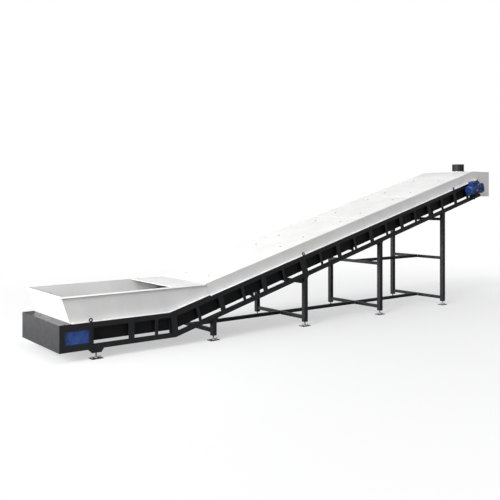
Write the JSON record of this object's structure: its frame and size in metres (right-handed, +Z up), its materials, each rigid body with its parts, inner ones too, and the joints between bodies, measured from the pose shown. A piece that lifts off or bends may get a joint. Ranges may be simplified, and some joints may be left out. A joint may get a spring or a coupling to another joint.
{
  "type": "inclined belt conveyor",
  "caption": "Inclined belt conveyor with a level feed hopper, a hooded incline on trestles with levelling feet, and a geared head drive over a downward discharge.",
  "frame": {"origin": "on the floor, in the middle of the underside of the near tail levelling foot", "axes": "+X along the belt from tail to head, +Z up, +Y across the belt away from the drive side; the belt's centre line is at Y 0.71 m"},
  "size_m": [10.688, 1.768, 3.1763],
  "materials": {
    "frame_paint": "charcoal powder coat, satin",
    "white_paint": "white powder coat, satin, faint orange peel",
    "blue_paint": "blue machine enamel, semi-gloss",
    "dark_sheet": "black painted sheet, matt",
    "duct_paint": "charcoal painted duct, satin",
    "zinc_sheet": "galvanised sheet, worn where material runs",
    "belt_rubber": "black ribbed conveyor belt, dusty",
    "wheel_rubber": "black rubber",
    "fan_plastic": "moulded black plastic",
    "foot_steel": "zinc-plated steel",
    "bearing_iron": "painted cast iron housing",
    "drum_steel": "turned steel tube"
  },
  "bodies": {
    "frame": {"infeed_side_frame_near": "frame_paint", "incline_side_frame_near": "frame_paint", "side_sheet_near": "dark_sheet", "skirt_board_near": "zinc_sheet", "hopper_side_near": "white_paint", "takeup_cover_near": "blue_paint", "head_bearing_near": "bearing_iron", "infeed_side_frame_far": "frame_paint", "incline_side_frame_far": "frame_paint", "side_sheet_far": "dark_sheet", "skirt_board_far": "zinc_sheet", "hopper_side_far": "white_paint", "takeup_cover_far": "blue_paint", "head_bearing_far": "bearing_iron", "tail_end_cover": "frame_paint", "slider_bed_infeed": "zinc_sheet", "slider_bed_incline": "zinc_sheet", "conveyor_belt": "belt_rubber", "hopper_front": "white_paint", "hopper_deck": "white_paint", "hood_section_1": "white_paint", "hood_section_2": "white_paint", "hood_section_3": "white_paint", "hood_section_4": "white_paint", "head_hood": "white_paint", "duct_collar": "duct_paint", "gearbox": "blue_paint", "motor_body": "blue_paint", "terminal_box": "blue_paint", "fan_cover": "blue_paint", "torque_arm": "frame_paint", "trestle_1": "frame_paint", "trestle_2": "frame_paint", "trestle_3": "frame_paint", "trestle_4": "frame_paint", "lower_tie_1": "frame_paint", "lower_tie_2": "frame_paint", "lower_tie_3": "frame_paint", "upper_tie": "frame_paint"},
    "head_drum": {"head_drum": "drum_steel"},
    "takeup_carriage": {"tail_bearing_near": "bearing_iron", "tail_bearing_far": "bearing_iron"},
    "tail_drum": {"tail_drum": "drum_steel"},
    "motor_fan": {"motor_fan": "fan_plastic"},
    "knee_roller": {"knee_roller": "drum_steel"},
    "hold_down_wheel_near": {"hold_down_wheel_near": "wheel_rubber"},
    "hold_down_wheel_far": {"hold_down_wheel_far": "wheel_rubber"},
    "return_roller_1": {"return_roller_1": "drum_steel"},
    "return_roller_2": {"return_roller_2": "drum_steel"},
    "return_roller_3": {"return_roller_3": "drum_steel"},
    "levelling_foot_tail_near": {"levelling_foot_tail_near": "foot_steel"},
    "levelling_foot_tail_far": {"levelling_foot_tail_far": "foot_steel"},
    "levelling_foot_1_near": {"levelling_foot_1_near": "foot_steel"},
    "levelling_foot_1_far": {"levelling_foot_1_far": "foot_steel"},
    "levelling_foot_2_near": {"levelling_foot_2_near": "foot_steel"},
    "levelling_foot_2_far": {"levelling_foot_2_far": "foot_steel"},
    "levelling_foot_3_near": {"levelling_foot_3_near": "foot_steel"},
    "levelling_foot_3_far": {"levelling_foot_3_far": "foot_steel"},
    "levelling_foot_4_near": {"levelling_foot_4_near": "foot_steel"},
    "levelling_foot_4_far": {"levelling_foot_4_far": "foot_steel"}
  },
  "joints": [
    {"name": "head_drum_spin", "type": "hinge", "parent": "frame", "child": "head_drum", "pos_m": [9.46443, 0.71, 2.5949], "axis": [0, 1, 0], "continuous": true},
    {"name": "takeup_slide", "type": "slide", "parent": "frame", "child": "takeup_carriage", "axis": [1, 0, 0], "range_m": [0, 0.05]},
    {"name": "tail_drum_spin", "type": "hinge", "parent": "takeup_carriage", "child": "tail_drum", "pos_m": [-0.315, 0.71, 0.385], "axis": [0, 1, 0], "continuous": true},
    {"name": "motor_fan_spin", "type": "hinge", "parent": "frame", "child": "motor_fan", "pos_m": [9.05407, -0.165, 2.53004], "axis": [0.965, 0, 0.2622], "continuous": true},
    {"name": "knee_roller_spin", "type": "hinge", "parent": "frame", "child": "knee_roller", "pos_m": [1.33798, 0.71, 0.33], "axis": [0, 1, 0], "continuous": true},
    {"name": "hold_down_wheel_near_spin", "type": "hinge", "parent": "frame", "child": "hold_down_wheel_near", "pos_m": [1.31156, 0.71, 0.528], "axis": [0, 1, 0], "continuous": true},
    {"name": "hold_down_wheel_far_spin", "type": "hinge", "parent": "frame", "child": "hold_down_wheel_far", "pos_m": [1.31156, 0.71, 0.528], "axis": [0, 1, 0], "continuous": true},
    {"name": "return_roller_1_spin", "type": "hinge", "parent": "frame", "child": "return_roller_1", "pos_m": [2.97849, 0.71, 0.68421], "axis": [0, 1, 0], "continuous": true},
    {"name": "return_roller_2_spin", "type": "hinge", "parent": "frame", "child": "return_roller_2", "pos_m": [5.48753, 0.71, 1.36591], "axis": [0, 1, 0], "continuous": true},
    {"name": "return_roller_3_spin", "type": "hinge", "parent": "frame", "child": "return_roller_3", "pos_m": [7.99657, 0.71, 2.0476], "axis": [0, 1, 0], "continuous": true},
    {"name": "levelling_foot_tail_near_height", "type": "slide", "parent": "frame", "child": "levelling_foot_tail_near", "axis": [0, 0, 1], "range_m": [-0.015, 0.015]},
    {"name": "levelling_foot_tail_far_height", "type": "slide", "parent": "frame", "child": "levelling_foot_tail_far", "axis": [0, 0, 1], "range_m": [-0.015, 0.015]},
    {"name": "levelling_foot_1_near_height", "type": "slide", "parent": "frame", "child": "levelling_foot_1_near", "axis": [0, 0, 1], "range_m": [-0.015, 0.015]},
    {"name": "levelling_foot_1_far_height", "type": "slide", "parent": "frame", "child": "levelling_foot_1_far", "axis": [0, 0, 1], "range_m": [-0.015, 0.015]},
    {"name": "levelling_foot_2_near_height", "type": "slide", "parent": "frame", "child": "levelling_foot_2_near", "axis": [0, 0, 1], "range_m": [-0.015, 0.015]},
    {"name": "levelling_foot_2_far_height", "type": "slide", "parent": "frame", "child": "levelling_foot_2_far", "axis": [0, 0, 1], "range_m": [-0.015, 0.015]},
    {"name": "levelling_foot_3_near_height", "type": "slide", "parent": "frame", "child": "levelling_foot_3_near", "axis": [0, 0, 1], "range_m": [-0.015, 0.015]},
    {"name": "levelling_foot_3_far_height", "type": "slide", "parent": "frame", "child": "levelling_foot_3_far", "axis": [0, 0, 1], "range_m": [-0.015, 0.015]},
    {"name": "levelling_foot_4_near_height", "type": "slide", "parent": "frame", "child": "levelling_foot_4_near", "axis": [0, 0, 1], "range_m": [-0.015, 0.015]},
    {"name": "levelling_foot_4_far_height", "type": "slide", "parent": "frame", "child": "levelling_foot_4_far", "axis": [0, 0, 1], "range_m": [-0.015, 0.015]}
  ],
  "couplings": [
    {"joint": "tail_drum_spin", "follows": "head_drum_spin", "ratio": 1},
    {"joint": "motor_fan_spin", "follows": "head_drum_spin", "ratio": 40},
    {"joint": "knee_roller_spin", "follows": "head_drum_spin", "ratio": 2.0185},
    {"joint": "hold_down_wheel_near_spin", "follows": "head_drum_spin", "ratio": -3.2059},
    {"joint": "hold_down_wheel_far_spin", "follows": "head_drum_spin", "ratio": -3.2059},
    {"joint": "return_roller_1_spin", "follows": "head_drum_spin", "ratio": -3.6333},
    {"joint": "return_roller_2_spin", "follows": "head_drum_spin", "ratio": -3.6333},
    {"joint": "return_roller_3_spin", "follows": "head_drum_spin", "ratio": -3.6333}
  ]
}
